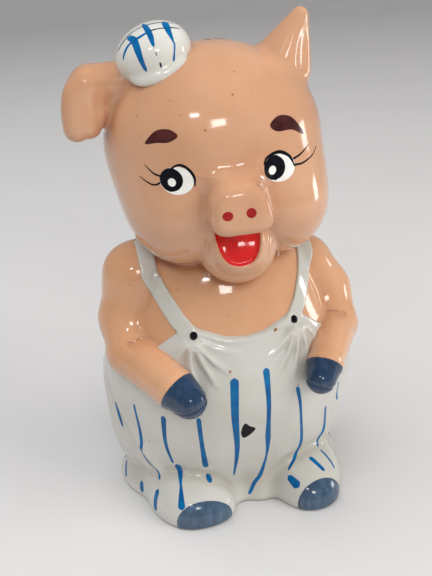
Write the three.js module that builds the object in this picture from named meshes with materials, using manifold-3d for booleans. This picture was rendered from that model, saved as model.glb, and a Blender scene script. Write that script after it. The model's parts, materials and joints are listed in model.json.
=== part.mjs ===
// A slip-cast ceramic bank: a boy pig in bib overalls and a small cap, hollow inside,
// with a coin slot in the crown and a rubber stopper in the base.
// Millimetres. The pig faces -Y, its own left side is +X, and it stands on z = 0.
import * as THREE from 'three';
import { mergeVertices } from 'three/addons/utils/BufferGeometryUtils.js';
import Module from 'manifold-3d';

const wasm = await Module();
wasm.setup();

const vec = (x, y, z) => new THREE.Vector3(x, y, z);

// ---- Driving dimensions

const WALL = 5;                 // thickness of the cast wall
const GAP = 0.3;                // clearance between neighbouring pieces
const CLOTH = 1.5;              // how far the overalls stand off the skin
const WAIST = 100;              // height where the chest meets the overalls
const FLOOR = 10;               // height of the cavity's floor
const LIMB_WALL = 4.5;          // wall of the hollow arms

const BODY_AXIS = { x: 0, y: 4 };
const TOP_ROW = 0.93;           // where the top ring of the drum lies, as a share of a quarter turn
const NECK = { radius: 20, low: 150, high: 200 };

const HEAD_CENTRE = vec(0, -2, 218);
const HEAD_TURN = [0, -1.5, -3];     // degrees about X, Y and Z

const SLOT = { length: 36, width: 5.2, y: 20, low: 262, high: 300 };

const BASE_RECESS = { radius: 30, depth: 4.5 };
const STOPPER = {
  holeRadius: 17,
  flangeRadius: 22,
  flangeLow: 1.2,
  plugTopRadius: 15.8,
  top: 15,
  clearance: 0.25,
};

// ---- Colours

const SKIN = { color: 0xdea982, roughness: 0.22, metalness: 0 };
const ARM_SKIN = { color: 0xe2af87, roughness: 0.22, metalness: 0 };
const CREAM = { color: 0xd9d2c3, roughness: 0.2, metalness: 0 };
const HOOF = { color: 0x4a4f5c, roughness: 0.2, metalness: 0 };
const BLACK = { color: 0x15130f, roughness: 0.25, metalness: 0 };
const RUBBER = { color: 0x8f3f2c, roughness: 0.75, metalness: 0 };

// ---- Distance fields: each takes a point and gives its rough distance outside the surface

function turnMatrix([x, y, z]) {
  const angles = [x, y, z].map(THREE.MathUtils.degToRad);
  return new THREE.Matrix4().makeRotationFromEuler(new THREE.Euler(...angles, 'ZYX'));
}

function ellipsoidField(centre, radii, turn = [0, 0, 0]) {
  const intoFrame = turnMatrix(turn).setPosition(centre).invert();
  return (point) => {
    const q = point.clone().applyMatrix4(intoFrame).divide(radii);
    const scale = q.length();
    return scale * (scale - 1) / Math.max(q.divide(radii).length(), 1e-9);
  };
}

// Joins two fields with a fillet about as wide as `width`.
function blend(first, second, width) {
  return (point) => {
    const a = first(point);
    const b = second(point);
    const overlap = Math.max(width - Math.abs(a - b), 0) / width;
    return Math.min(a, b) - overlap * overlap * width / 4;
  };
}

const headMatrix = turnMatrix(HEAD_TURN).setPosition(HEAD_CENTRE);
const headInverse = headMatrix.clone().invert();

function skullField() {
  let field = ellipsoidField(vec(-2, 4, 11.5), vec(64.2, 54, 56.7));
  for (const side of [-1, 1]) {
    const cheek = ellipsoidField(vec(1.7 + side * 27, -12, -22), vec(32.2, 40, 33));
    field = blend(field, cheek, 18);
  }
  return blend(field, ellipsoidField(vec(1, -34, -40), vec(23.5, 25, 23.5)), 4);
}

function bodyField() {
  const chest = ellipsoidField(vec(-1, 4, 114), vec(64, 52, 66));
  const belly = ellipsoidField(vec(-1, 2, 84), vec(79, 60, 60));
  const seat = ellipsoidField(vec(-3, 6, 46), vec(74, 54, 54));
  const hem = ellipsoidField(vec(-2.5, 8, 2), vec(73.5, 54, 20));
  return blend(chest, blend(blend(belly, seat, 14), hem, 16), 14);
}

const headSurface = ((field) => (point) => field(point.clone().applyMatrix4(headInverse)))(skullField());
const bodySurface = bodyField();

// ---- Solids

// Turns a closed three.js geometry into a solid with its faces pointing out.
function solid(geometry) {
  const bare = new THREE.BufferGeometry();
  bare.setAttribute('position', geometry.getAttribute('position').clone());
  if (geometry.index) bare.setIndex(geometry.index.clone());
  const merged = mergeVertices(bare, 1e-4);
  const position = merged.getAttribute('position');
  const corners = merged.index.array;
  const triangles = [];
  let volume = 0;
  for (let i = 0; i < corners.length; i += 3) {
    const [a, b, c] = [corners[i], corners[i + 1], corners[i + 2]];
    if (a === b || b === c || c === a) continue;
    const [p, q, r] = [a, b, c].map((k) => vec().fromBufferAttribute(position, k));
    volume += p.dot(q.cross(r)) / 6;
    triangles.push([a, b, c]);
  }
  const ordered = volume > 0 ? triangles : triangles.map(([a, b, c]) => [a, c, b]);
  return new wasm.Manifold(new wasm.Mesh({
    numProp: 3,
    vertProperties: new Float32Array(position.array),
    triVerts: new Uint32Array(ordered.flat()),
  }));
}

// An icosphere about `centre`, each vertex moved along its own ray onto field = level.
function wrap(field, centre, level, detail) {
  const geometry = new THREE.IcosahedronGeometry(1, detail);
  const position = geometry.getAttribute('position');
  for (let i = 0; i < position.count; i += 1) {
    const ray = vec().fromBufferAttribute(position, i).normalize();
    let inside = 0;
    let outside = 160;
    for (let step = 0; step < 32; step += 1) {
      const middle = (inside + outside) / 2;
      const point = ray.clone().multiplyScalar(middle).add(centre);
      if (field(point) < level) inside = middle;
      else outside = middle;
    }
    const surface = ray.multiplyScalar(inside).add(centre);
    position.setXYZ(i, surface.x, surface.y, surface.z);
  }
  return solid(geometry);
}

// A drum about the body's upright axis, each vertex moved outwards onto field = level.
// Rows crowd towards the crown, and the bottom stays flat on z = 0.
function wrapUpright(field, level, columns, rows) {
  const axis = (z) => vec(BODY_AXIS.x, BODY_AXIS.y, z);
  let crown = 100;
  while (field(axis(crown)) < level) crown += 0.02;
  const geometry = new THREE.CylinderGeometry(1, 1, 1, columns, rows);
  geometry.rotateX(Math.PI / 2);
  const position = geometry.getAttribute('position');
  for (let i = 0; i < position.count; i += 1) {
    const ray = vec(position.getX(i), position.getY(i), 0);
    const share = position.getZ(i) + 0.5;
    const height = crown * Math.sin(share * TOP_ROW * Math.PI / 2);
    const onAxis = ray.length() < 0.5;
    let inside = 0;
    let outside = onAxis ? 0 : 120;
    for (let step = 0; step < 32; step += 1) {
      const middle = (inside + outside) / 2;
      const point = axis(height).addScaledVector(ray, middle);
      if (field(point) < level) inside = middle;
      else outside = middle;
    }
    const surface = axis(height).addScaledVector(ray, inside);
    position.setXYZ(i, surface.x, surface.y, surface.z);
  }
  return solid(geometry);
}

function ellipsoid(centre, radii, turn = [0, 0, 0], columns = 18, rows = 12) {
  const geometry = new THREE.SphereGeometry(1, columns, rows);
  geometry.rotateX(Math.PI / 2);
  geometry.scale(radii.x, radii.y, radii.z);
  geometry.applyMatrix4(turnMatrix(turn).setPosition(centre));
  return geometry;
}

function block(low, high) {
  const size = high.clone().sub(low);
  const geometry = new THREE.BoxGeometry(size.x, size.y, size.z);
  geometry.translate(...low.clone().add(high).divideScalar(2).toArray());
  return solid(geometry);
}

const above = (z) => block(vec(-200, -200, z), vec(200, 200, z + 400));
const below = (z) => block(vec(-200, -200, z - 400), vec(200, 200, z));

// A solid of revolution about the vertical line through (x, y). Points are [radius, z].
function turned(points, x, y, columns) {
  const profile = points.map(([radius, z]) => new THREE.Vector2(radius, z));
  const geometry = new THREE.LatheGeometry(profile, columns);
  geometry.rotateX(Math.PI / 2);
  geometry.translate(x, y, 0);
  return solid(geometry);
}

// A front view outline, drawn in x and z, pushed through from y = 0 to the front or the back.
function prism(outline, side) {
  const geometry = new THREE.ExtrudeGeometry(outline, { depth: 150, bevelEnabled: false, curveSegments: 8 });
  geometry.rotateX(Math.PI / 2);
  if (side > 0) geometry.translate(0, 150, 0);
  return solid(geometry);
}

// A limb with round ends along a smooth curve, its radius changing evenly between `radii`.
// `across` is any direction that the curve never runs along; `flatten` thins the limb across it.
function limb(points, radii, columns, rows, across, flatten = 1) {
  const curve = new THREE.CatmullRomCurve3(points);
  const length = curve.getLength();
  const last = radii.length - 1;
  const radiusAt = (share) => {
    const place = THREE.MathUtils.clamp(share, 0, 1) * last;
    const index = Math.min(Math.floor(place), last - 1);
    return THREE.MathUtils.lerp(radii[index], radii[index + 1], place - index);
  };
  const profile = [];
  const capRows = 4;
  for (let i = 0; i < capRows; i += 1) {
    const angle = (i / capRows) * Math.PI / 2;
    profile.push(new THREE.Vector2(radii[0] * Math.sin(angle), -radii[0] * Math.cos(angle)));
  }
  for (let i = 0; i <= rows; i += 1) {
    profile.push(new THREE.Vector2(radiusAt(i / rows), length * i / rows));
  }
  for (let i = capRows - 1; i >= 0; i -= 1) {
    const angle = (i / capRows) * Math.PI / 2;
    profile.push(new THREE.Vector2(radii[last] * Math.sin(angle), length + radii[last] * Math.cos(angle)));
  }
  const geometry = new THREE.LatheGeometry(profile, columns);
  const position = geometry.getAttribute('position');
  for (let i = 0; i < position.count; i += 1) {
    const [aside, along, up] = [position.getX(i), position.getY(i), position.getZ(i)];
    const share = THREE.MathUtils.clamp(along / length, 0, 1);
    const tangent = curve.getTangentAt(share);
    const sideways = across.clone().addScaledVector(tangent, -tangent.dot(across)).normalize();
    const upward = tangent.clone().cross(sideways);
    const point = curve.getPointAt(share)
      .addScaledVector(tangent, along - share * length)
      .addScaledVector(sideways, aside * flatten)
      .addScaledVector(upward, up);
    position.setXYZ(i, point.x, point.y, point.z);
  }
  return geometry;
}

const inHead = (geometry) => solid(geometry.applyMatrix4(headMatrix));

// ---- The scene graph

const pig = new THREE.Group();

function add(name, shape, finish) {
  const mesh = shape.getMesh();
  const geometry = new THREE.BufferGeometry();
  geometry.setAttribute('position', new THREE.BufferAttribute(mesh.vertProperties, mesh.numProp));
  geometry.setIndex(new THREE.BufferAttribute(mesh.triVerts, 1));
  geometry.computeVertexNormals();
  const piece = new THREE.Mesh(geometry, new THREE.MeshStandardMaterial(finish));
  piece.name = name;
  pig.add(piece);
}

// ---- Body: one cast shell, parted at the waist into the bare chest and the overalls

const skin = wrapUpright(bodySurface, 0, 32, 14);
const skinCut = wrapUpright(bodySurface, GAP, 32, 14);
const cloth = wrapUpright(bodySurface, CLOTH, 32, 14);
const clothCut = wrapUpright(bodySurface, CLOTH + GAP, 32, 14);
const cavity = wrapUpright(bodySurface, -WALL, 20, 8).intersect(above(FLOOR));
const neckHole = turned([[0, NECK.low], [NECK.radius, NECK.low], [NECK.radius, NECK.high], [0, NECK.high]],
  BODY_AXIS.x, BODY_AXIS.y, 20);

// Arms: shoulder, upper arm, elbow and wrist, bent forward so the hands rest on the belly.
const ARMS = {
  right: {
    path: [vec(-55, 2, 149), vec(-63, -2, 124), vec(-63, -17, 107.5), vec(-46, -54, 100)],
    radii: [20, 18, 17, 12.5],
    hand: [vec(-44.5, -56, 99.5), vec(-38.2, -64, 94.5)],
    handRadii: [12.6, 10.2],
  },
  left: {
    path: [vec(51.5, 2, 141.5), vec(62.5, -2, 124), vec(64, -17, 106.5), vec(48, -54, 100.5)],
    radii: [19.5, 18, 17, 10.7],
    hand: [vec(46.8, -55.5, 100.5), vec(42.2, -62.5, 94.3)],
    handRadii: [10.5, 8.9],
  },
};
const armSolid = ({ path, radii }) => solid(limb(path, radii, 14, 6, vec(1, 0, 0)));
const armHollow = ({ path, radii }) => solid(limb(path, radii.map((r) => r - LIMB_WALL),
  10, 4, vec(1, 0, 0)));
const handSolid = ({ hand, handRadii }, grow) => solid(limb(hand, handRadii.map((r) => r + grow),
  16, 2, vec(1, 0, 0)));

let chest = skin.subtract(cavity).subtract(neckHole).intersect(above(WAIST + GAP / 2));
for (const arm of Object.values(ARMS)) chest = chest.subtract(armHollow(arm));
add('chest_shell', chest, SKIN);

const baseRecess = turned([[0, -1], [BASE_RECESS.radius, -1], [BASE_RECESS.radius, BASE_RECESS.depth],
  [0, BASE_RECESS.depth]], BODY_AXIS.x, BODY_AXIS.y, 32);
const stopperHole = turned([[0, -1], [STOPPER.holeRadius, -1], [STOPPER.holeRadius, FLOOR + 2],
  [0, FLOOR + 2]], BODY_AXIS.x, BODY_AXIS.y, 32);
let overalls = cloth.subtract(cavity).intersect(above(0)).intersect(below(WAIST - GAP / 2));
overalls = overalls.subtract(baseRecess).subtract(stopperHole);
for (const arm of Object.values(ARMS)) overalls = overalls.subtract(armHollow(arm));
add('overalls_shell', overalls, CREAM);

// ---- Bib and shoulder straps: thin covers that follow the chest

function bibOutline(grow) {
  const outline = new THREE.Shape();
  outline.moveTo(-47 - grow, WAIST);
  outline.lineTo(47 + grow, WAIST);
  outline.lineTo(44 + grow, 115);
  outline.lineTo(38 + grow, 124 + grow);
  outline.lineTo(25, 127 + grow);
  outline.quadraticCurveTo(0, 120 + grow, -25, 127 + grow);
  outline.lineTo(-38 - grow, 124 + grow);
  outline.lineTo(-44 - grow, 115);
  return outline;
}

// Straps run from the bib's corners to the shoulders, and down the back to the waist.
const STRAP_FRONT = [[31, 127.6], [37, 135], [43, 146], [47, 158], [46, 185]];
const STRAP_BACK = [[24, WAIST + GAP], [28, 125], [36, 145], [44, 160], [46, 185]];
const STRAP_HALF_WIDTH = 5;

function strapOutline(points, side, grow) {
  const half = STRAP_HALF_WIDTH + grow;
  const outer = points.map(([x, z]) => new THREE.Vector2(side * (x + half), z));
  const inner = points.map(([x, z]) => new THREE.Vector2(side * (x - half), z));
  return new THREE.Shape([...outer, ...inner.reverse()]);
}

const strapSleeve = (side, grow) => prism(strapOutline(STRAP_FRONT, side, grow), -1)
  .add(prism(strapOutline(STRAP_BACK, side, grow), 1));

const coverShell = cloth.subtract(skinCut).intersect(above(WAIST + GAP / 2));
const bibPrism = prism(bibOutline(0), -1);
add('bib', coverShell.intersect(bibPrism), CREAM);

const HEAD_DETAIL = 8;
const headOuter = wrap(headSurface, HEAD_CENTRE, 0, HEAD_DETAIL);
const headCut = wrap(headSurface, HEAD_CENTRE, GAP, HEAD_DETAIL);
for (const [side, name] of [[-1, 'strap_right'], [1, 'strap_left']]) {
  add(name, coverShell.intersect(strapSleeve(side, 0)).subtract(headCut), CREAM);
}

const coverCut = clothCut.intersect(prism(bibOutline(GAP), -1))
  .add(clothCut.intersect(strapSleeve(-1, GAP)))
  .add(clothCut.intersect(strapSleeve(1, GAP)))
  .add(clothCut.intersect(below(WAIST + GAP)))
  .add(skinCut);

// Buttons: low domes where each strap meets the bib, resting on the cloth.
const BUTTON = { x: 31, z: 131.5, radius: 3.4, height: 2.4 };

function frontOfCloth(x, z) {
  let y = -100;
  while (bodySurface(vec(x, y, z)) > CLOTH) y += 0.05;
  return y;
}

for (const [side, name] of [[-1, 'button_right'], [1, 'button_left']]) {
  const y = frontOfCloth(side * BUTTON.x, BUTTON.z);
  const radii = vec(BUTTON.radius, BUTTON.height, BUTTON.radius);
  const dome = solid(ellipsoid(vec(side * BUTTON.x, y, BUTTON.z), radii, [0, 0, 0], 12, 8));
  add(name, dome.subtract(clothCut), BLACK);
}

// ---- Arms and hands

for (const [suffix, limbs] of Object.entries(ARMS)) {
  const arm = armSolid(limbs).subtract(coverCut).subtract(handSolid(limbs, GAP)).subtract(armHollow(limbs));
  add(`arm_${suffix}`, arm.subtract(headCut), ARM_SKIN);
  add(`hand_${suffix}`, handSolid(limbs, 0).subtract(coverCut), HOOF);
}

// ---- Trouser legs and feet, standing out from the hem

const LEG_RADII = vec(27, 38, 25);
const FEET = {
  right: { legX: -38, centre: vec(-33, -45.5, 4), radii: vec(23, 17.5, 16.5) },
  left: { legX: 38, centre: vec(39, -46, 4), radii: vec(19, 20, 16.5) },
};
for (const [suffix, { legX, centre, radii }] of Object.entries(FEET)) {
  const foot = solid(ellipsoid(centre, radii, [0, 0, 0], 16, 10));
  const footRoom = solid(ellipsoid(centre, radii.clone().addScalar(GAP), [0, 0, 0], 16, 10));
  const leg = solid(ellipsoid(vec(legX, -24, 4), LEG_RADII, [0, 0, 0], 20, 12));
  add(`trouser_leg_${suffix}`, leg.subtract(clothCut).subtract(footRoom).intersect(above(0)), CREAM);
  add(`foot_${suffix}`, foot.subtract(clothCut).intersect(above(0)), HOOF);
}

// ---- Head: a hollow shell, open at the neck, with the mouth sunk under the snout

const headCavity = wrap(headSurface, HEAD_CENTRE, -WALL, 5);
const mouth = inHead(ellipsoid(vec(-0.8, -59.5, -34), vec(12.5, 4, 10.5), [0, 0, 0], 16, 10));

// The snout stands forward of the face as a block with soft corners, wider at its foot.
const SNOUT = { halfTop: 15, halfFoot: 18.5, top: 2.5, foot: -21, back: -34, front: -73, soft: 5 };
const snoutOutline = new THREE.Shape([
  new THREE.Vector2(-SNOUT.halfFoot + SNOUT.soft, SNOUT.foot + SNOUT.soft),
  new THREE.Vector2(SNOUT.halfFoot - SNOUT.soft, SNOUT.foot + SNOUT.soft),
  new THREE.Vector2(SNOUT.halfTop - SNOUT.soft, SNOUT.top - SNOUT.soft),
  new THREE.Vector2(-SNOUT.halfTop + SNOUT.soft, SNOUT.top - SNOUT.soft),
]);
const snoutBlock = new THREE.ExtrudeGeometry(snoutOutline, {
  depth: SNOUT.back - SNOUT.front - SNOUT.soft,
  bevelSize: SNOUT.soft,
  bevelThickness: SNOUT.soft,
  bevelSegments: 4,
});
snoutBlock.rotateX(Math.PI / 2);
snoutBlock.translate(0.5, SNOUT.back, 0);
const snout = inHead(snoutBlock);
const slot = block(vec(-SLOT.length / 2, SLOT.y - SLOT.width / 2, SLOT.low),
  vec(SLOT.length / 2, SLOT.y + SLOT.width / 2, SLOT.high));
const face = headOuter.subtract(mouth).add(snout);
add('head_shell', face.subtract(headCavity).subtract(skinCut).subtract(neckHole).subtract(slot), SKIN);

// Ears: the left one stands up to a point, the right one is folded down over the side.
const uprightEar = inHead(limb([vec(41, 6, 46), vec(47, 4, 62), vec(53, 2, 76.5)], [18, 11.5, 5],
  14, 5, vec(0, 1, 0)));
add('ear_upright', uprightEar.subtract(headCut), SKIN);

const foldedEar = inHead(limb([vec(-44, 5, 48), vec(-63, 2, 50.5), vec(-74.5, -7, 47), vec(-77, -10, 32)],
  [13, 10.5, 11, 9], 14, 8, vec(0, 1, 0), 0.75));

// Cap: a round crown with a short peak, tipped over beside the folded ear.
const CAP_TILT = -18;
const capCrown = (grow) => inHead(ellipsoid(vec(-32.5, -1, 63), vec(22, 21.5, 18).addScalar(grow),
  [0, CAP_TILT, 0], 20, 12));
const capPeak = inHead(ellipsoid(vec(-31.5, -12.5, 58.5), vec(17.5, 11.5, 6), [30, CAP_TILT, 0], 18, 8));
add('ear_folded', foldedEar.subtract(headCut).subtract(capCrown(GAP)), SKIN);
add('cap_crown', capCrown(0).subtract(headCut), CREAM);
add('cap_peak', capPeak.subtract(headCut).subtract(capCrown(GAP)), CREAM);

// ---- Stopper: a tapered rubber plug with a flange, pushed up into the base

const flangeTop = BASE_RECESS.depth - GAP;
const plugRadius = STOPPER.holeRadius - STOPPER.clearance;
add('stopper', turned([
  [0, STOPPER.flangeLow],
  [STOPPER.flangeRadius, STOPPER.flangeLow],
  [STOPPER.flangeRadius, flangeTop],
  [plugRadius, flangeTop],
  [plugRadius, FLOOR],
  [STOPPER.plugTopRadius, STOPPER.top],
  [0, STOPPER.top],
], BODY_AXIS.x, BODY_AXIS.y, 32), RUBBER);

// ---- Origin: the middle of the bounding box in plan, at the base

const bounds = new THREE.Box3().setFromObject(pig);
const middle = bounds.getCenter(vec());
pig.position.set(-middle.x, -middle.y, -bounds.min.z);

export default pig;
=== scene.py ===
import bmesh
import bpy
import json
import math
import numpy as np
from mathutils import Matrix, Vector

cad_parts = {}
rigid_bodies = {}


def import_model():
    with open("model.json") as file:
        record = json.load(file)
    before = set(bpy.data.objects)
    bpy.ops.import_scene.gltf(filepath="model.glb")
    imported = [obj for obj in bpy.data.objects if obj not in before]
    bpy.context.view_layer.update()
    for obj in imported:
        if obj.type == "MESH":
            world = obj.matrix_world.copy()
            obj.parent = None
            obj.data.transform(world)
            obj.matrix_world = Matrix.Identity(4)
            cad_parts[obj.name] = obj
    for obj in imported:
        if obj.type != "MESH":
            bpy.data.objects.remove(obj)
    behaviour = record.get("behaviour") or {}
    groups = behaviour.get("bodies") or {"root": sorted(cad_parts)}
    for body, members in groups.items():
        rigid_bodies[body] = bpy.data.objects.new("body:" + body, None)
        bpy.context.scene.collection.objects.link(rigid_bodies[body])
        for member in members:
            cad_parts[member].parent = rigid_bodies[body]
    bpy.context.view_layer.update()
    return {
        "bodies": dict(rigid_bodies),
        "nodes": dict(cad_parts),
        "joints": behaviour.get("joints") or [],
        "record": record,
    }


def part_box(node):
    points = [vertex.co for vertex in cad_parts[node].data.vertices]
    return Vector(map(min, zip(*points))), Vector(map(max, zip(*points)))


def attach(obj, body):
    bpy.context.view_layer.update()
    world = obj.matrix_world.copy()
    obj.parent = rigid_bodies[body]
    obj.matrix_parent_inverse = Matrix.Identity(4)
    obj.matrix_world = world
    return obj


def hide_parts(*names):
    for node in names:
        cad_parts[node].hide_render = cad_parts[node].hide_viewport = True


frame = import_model()

# Shapes are worked out in millimetres in the potter's frame: the pig faces -Y, its base is at z = 0.
BODY_AXIS_Y = 4.0
plug_low, plug_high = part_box("stopper")
SHIFT = np.array([(plug_low.x + plug_high.x) * 500, (plug_low.y + plug_high.y) * 500 - BODY_AXIS_Y, 0.0])
STEP = 1.15      # mesh spacing of the big skins
FINE = 0.55      # mesh spacing of hooves, mouth and cap
WALL = 4.5
CLOTH = 1.5     # how far the overalls stand off the skin
rng = np.random.default_rng(12)


# ------------------------------------------------------------------ distance fields
def turn(x, y, z):
    cx, cy, cz = np.cos(np.radians((x, y, z)))
    sx, sy, sz = np.sin(np.radians((x, y, z)))
    rx = np.array([[1, 0, 0], [0, cx, -sx], [0, sx, cx]])
    ry = np.array([[cy, 0, sy], [0, 1, 0], [-sy, 0, cy]])
    rz = np.array([[cz, -sz, 0], [sz, cz, 0], [0, 0, 1]])
    return rz @ ry @ rx


def ellipsoid(p, centre, radii, frame=None):
    q = p - np.asarray(centre, float)
    if frame is not None:
        q = q @ frame
    r = np.asarray(radii, float)
    k0 = np.sqrt(((q / r) ** 2).sum(-1))
    k1 = np.sqrt(((q / (r * r)) ** 2).sum(-1))
    return k0 * (k0 - 1) / np.maximum(k1, 1e-9)


def cone(p, a, b, ra, rb):
    """A limb with round ends, radius ra at a and rb at b."""
    a, b = np.asarray(a, float), np.asarray(b, float)
    ba = b - a
    l2 = ba @ ba
    rr = ra - rb
    a2 = l2 - rr * rr
    pa = p - a
    y = pa @ ba
    z = y - l2
    w = pa * l2 - y[..., None] * ba
    x2 = (w * w).sum(-1)
    y2 = y * y * l2
    z2 = z * z * l2
    k = np.sign(rr) * rr * rr * x2
    side = (np.sqrt(x2 * a2 / l2) + y * rr) / l2 - ra
    far = np.sqrt(x2 + z2) / l2 - rb
    near = np.sqrt(x2 + y2) / l2 - ra
    return np.where(np.sign(z) * a2 * z2 > k, far, np.where(np.sign(y) * a2 * y2 < k, near, side))


def join(a, b, k):
    h = np.maximum(k - np.abs(a - b), 0) / k
    return np.minimum(a, b) - h * h * k / 4


def cut(a, b, k):
    return -join(-a, -b, k)


def track(x, z, points):
    """Distance in a plane to a polyline."""
    best = np.full(np.shape(x), 1e9)
    for (x0, z0), (x1, z1) in zip(points[:-1], points[1:]):
        dx, dz = x1 - x0, z1 - z0
        t = np.clip(((x - x0) * dx + (z - z0) * dz) / (dx * dx + dz * dz), 0, 1)
        best = np.minimum(best, np.hypot(x - x0 - t * dx, z - z0 - t * dz))
    return best


def outline(x, z, points):
    """Signed distance to a closed outline, negative inside."""
    d = np.full(np.shape(x), 1e18)
    sign = np.ones(np.shape(x))
    for (x0, z0), (x1, z1) in zip(points, points[-1:] + points[:-1]):
        ex, ez = x1 - x0, z1 - z0
        wx, wz = x - x0, z - z0
        t = np.clip((wx * ex + wz * ez) / (ex * ex + ez * ez), 0, 1)
        d = np.minimum(d, (wx - ex * t) ** 2 + (wz - ez * t) ** 2)
        c1, c2, c3 = z >= z0, z < z1, ex * wz > ez * wx
        sign = np.where((c1 & c2 & c3) | (~c1 & ~c2 & ~c3), -sign, sign)
    return sign * np.sqrt(d)


def spline(a, b, c, d, t):
    """A point between b and c on the smooth curve through a, b, c and d."""
    return 0.5 * (2 * b + (c - a) * t + (2 * a - 5 * b + 4 * c - d) * t ** 2
                  + (3 * b - a - 3 * c + d) * t ** 3)


def closed_curve(points, per=6):
    """A smooth closed line through the points."""
    pts = np.asarray(points, float)
    n = len(pts)
    out = []
    for i in range(n):
        a, b, c, d = (pts[(i + k) % n] for k in (-1, 0, 1, 2))
        for t in np.linspace(0, 1, per, endpoint=False):
            out.append(spline(a, b, c, d, t))
    return [tuple(v) for v in out]


# ------------------------------------------------------------------ head
HEAD_CENTRE = np.array([0, -2, 218.0])
HEAD_TURN = turn(0, -1.5, -3)


def in_head(p):
    return (p - HEAD_CENTRE) @ HEAD_TURN


def from_head(q):
    return np.asarray(q, float) @ HEAD_TURN.T + HEAD_CENTRE


def skull(q):
    f = ellipsoid(q, (-2, 4, 11.5), (64.2, 54, 56.7))
    for s in (-1, 1):
        f = join(f, ellipsoid(q, (1.7 + s * 27, -12, -22), (32.2, 40, 33)), 18)
    return f


def snout(q):
    x, y, z = q[..., 0] - 0.1, q[..., 1], q[..., 2]
    back = y + 73
    side = (np.abs(x) - (15.8 - 0.2 * (z + 10) + 0.05 * back)) * 0.98
    top = (z - (3.6 + 0.10 * back)) * 0.98
    bottom = -22.0 - 0.06 * back - z
    ring = cut(side, cut(top, bottom, 9), 11)
    return cut(cut(ring, -back + 0.12 * (z + 10), 5.5), back - 45, 2)


def mouth_edge(q):
    """Signed distance to the D of the mouth seen from the front, negative inside."""
    x, z = np.abs(q[..., 0] + 0.5) / 12.7, np.abs(q[..., 2] + 24.0) / 21.5
    bowl = ((x ** 2.5 + z ** 2.5 + 1e-6) ** 0.4 - 1) * 13.5
    return cut(bowl, q[..., 2] + 24.0, 2)


def face(q):
    f = join(skull(q), ellipsoid(q, (1, -34, -40), (23.5, 25, 23.5)), 2.6)
    edge = mouth_edge(q)
    near = np.clip((-q[..., 1] - 30) / 10, 0, 1)
    lip = np.exp(-((edge - 1.2) / 2.0) ** 2) * np.clip((-20 - q[..., 2]) / 6, 0, 1)
    fold = np.exp(-((edge - 5.0) / 1.3) ** 2) * np.clip((-26 - q[..., 2]) / 8, 0, 1)
    f = f + (0.45 * fold - 0.9 * lip) * near
    bowl = 1 - (1 - np.clip(-edge / 10, 0, 1)) ** 2
    f = f + (3.6 * bowl + 0.8 * np.clip(-edge / 1.2, 0, 1)) * near
    soft = 7.0 * np.clip((q[..., 2] + 4) / 10, 0, 1) + 3.0 * np.clip((q[..., 0] - 2) / 10, 0, 1)
    return join(f, snout(q), 2.6 + soft)


def ear_upright(q):
    f = cone(q, (41, 6, 48), (53, 2, 76.5), 18, 5)
    return cut(f, -ellipsoid(q, (58, -13, 60), (9.5, 11, 24), turn(-6, 14, 20)), 3.5)


FLAP = closed_curve([(-70, 54.5), (-75, 54), (-80, 49.5), (-82, 41), (-82.5, 31), (-80.5, 27.5),
                     (-75.5, 28.5), (-70.5, 31)], 4)


def ear_folded(q):
    upper = cone(q, (-44, 6, 49.5), (-69, 2, 52), 13, 10.5)
    base = join(upper, cone(q, (-50, 6, 42), (-63, 2, 35.5), 12, 8.5), 4)
    leaf = outline(q[..., 0], q[..., 2], FLAP) - 5.0
    bend = q[..., 1] + 8.5 + 0.08 * (50 - q[..., 2])
    dish = 0.9 * np.exp(-(((q[..., 0] + 66) / 6.0) ** 2 + ((q[..., 2] - 42) / 13.0) ** 2))
    flap = cut(leaf, np.abs(bend) - 6.0, 9)
    return join(base, flap, 10) + dish * np.clip(-bend / 3.0, 0, 1)


CAP_TURN = turn(0, -18, 0)


def cap_crown(q):
    return ellipsoid(q, (-32, -1, 65), (22, 20.5, 17), CAP_TURN)


def cap_peak(q):
    return ellipsoid(q, (-31, -12.5, 59.5), (17, 11.5, 6), turn(30, -18, 0))


SLOT_Y = 20.0


def slot_hole(p):
    x, y, z = p[..., 0], p[..., 1] - SLOT_Y, p[..., 2]
    return np.maximum(np.hypot(np.maximum(np.abs(x) - 15.4, 0), y) - 2.6, 255 - z)


# ------------------------------------------------------------------ body
def around(p):
    """Degrees round the body from the front; its sign is the side."""
    return np.degrees(np.arctan2(p[..., 0], -(p[..., 1] - BODY_AXIS_Y)))


def core(p):
    f = ellipsoid(p, (-1, 4, 114), (64, 52, 66))
    low = join(ellipsoid(p, (-1, 2, 84), (79, 60, 60)), ellipsoid(p, (-3, 6, 46), (74, 54, 54)), 14)
    return join(f, join(low, ellipsoid(p, (-2.5, 8, 2), (73.5, 54, 20)), 16), 14)


ELBOW_LINE = {
    -1: [(-66.5, 118.5), (-59.5, 120), (-52.5, 121), (-48, 119.5), (-44.5, 118)],
    1: [(50, 115.5), (54, 117.5), (58.5, 119.5), (63, 119), (68.5, 117.5)],
}
ARM_RADII = {-1: (20, 17.6, 16.6, 12.6), 1: (19.5, 18, 16.8, 10.9)}
ARM_POINTS = {
    -1: [(-55, 2, 150), (-63, -2, 124), (-63, -17, 107.5), (-46, -54, 100)],
    1: [(51.5, 2, 141.5), (62.5, -2, 124), (64, -17, 106.5), (48, -54, 100.5)],
}


def arm(p, s):
    points, radii = ARM_POINTS[s], ARM_RADII[s]
    upper = cone(p, points[0], points[1], radii[0], radii[1])
    f = join(upper, cone(p, points[1], points[2], radii[1], radii[2]), 5)
    if s < 0:
        f = join(f, cone(p, (-38, 4, 160), points[0], 14, radii[0] - 2), 8)
    f = join(f, cone(p, points[2], points[3], radii[2], radii[3]), 2.0)
    bend = track(p[..., 0], p[..., 2], ELBOW_LINE[s])
    return f + 1.3 * np.exp(-((bend / 1.3) ** 2)) * (p[..., 1] < -15)


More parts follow.
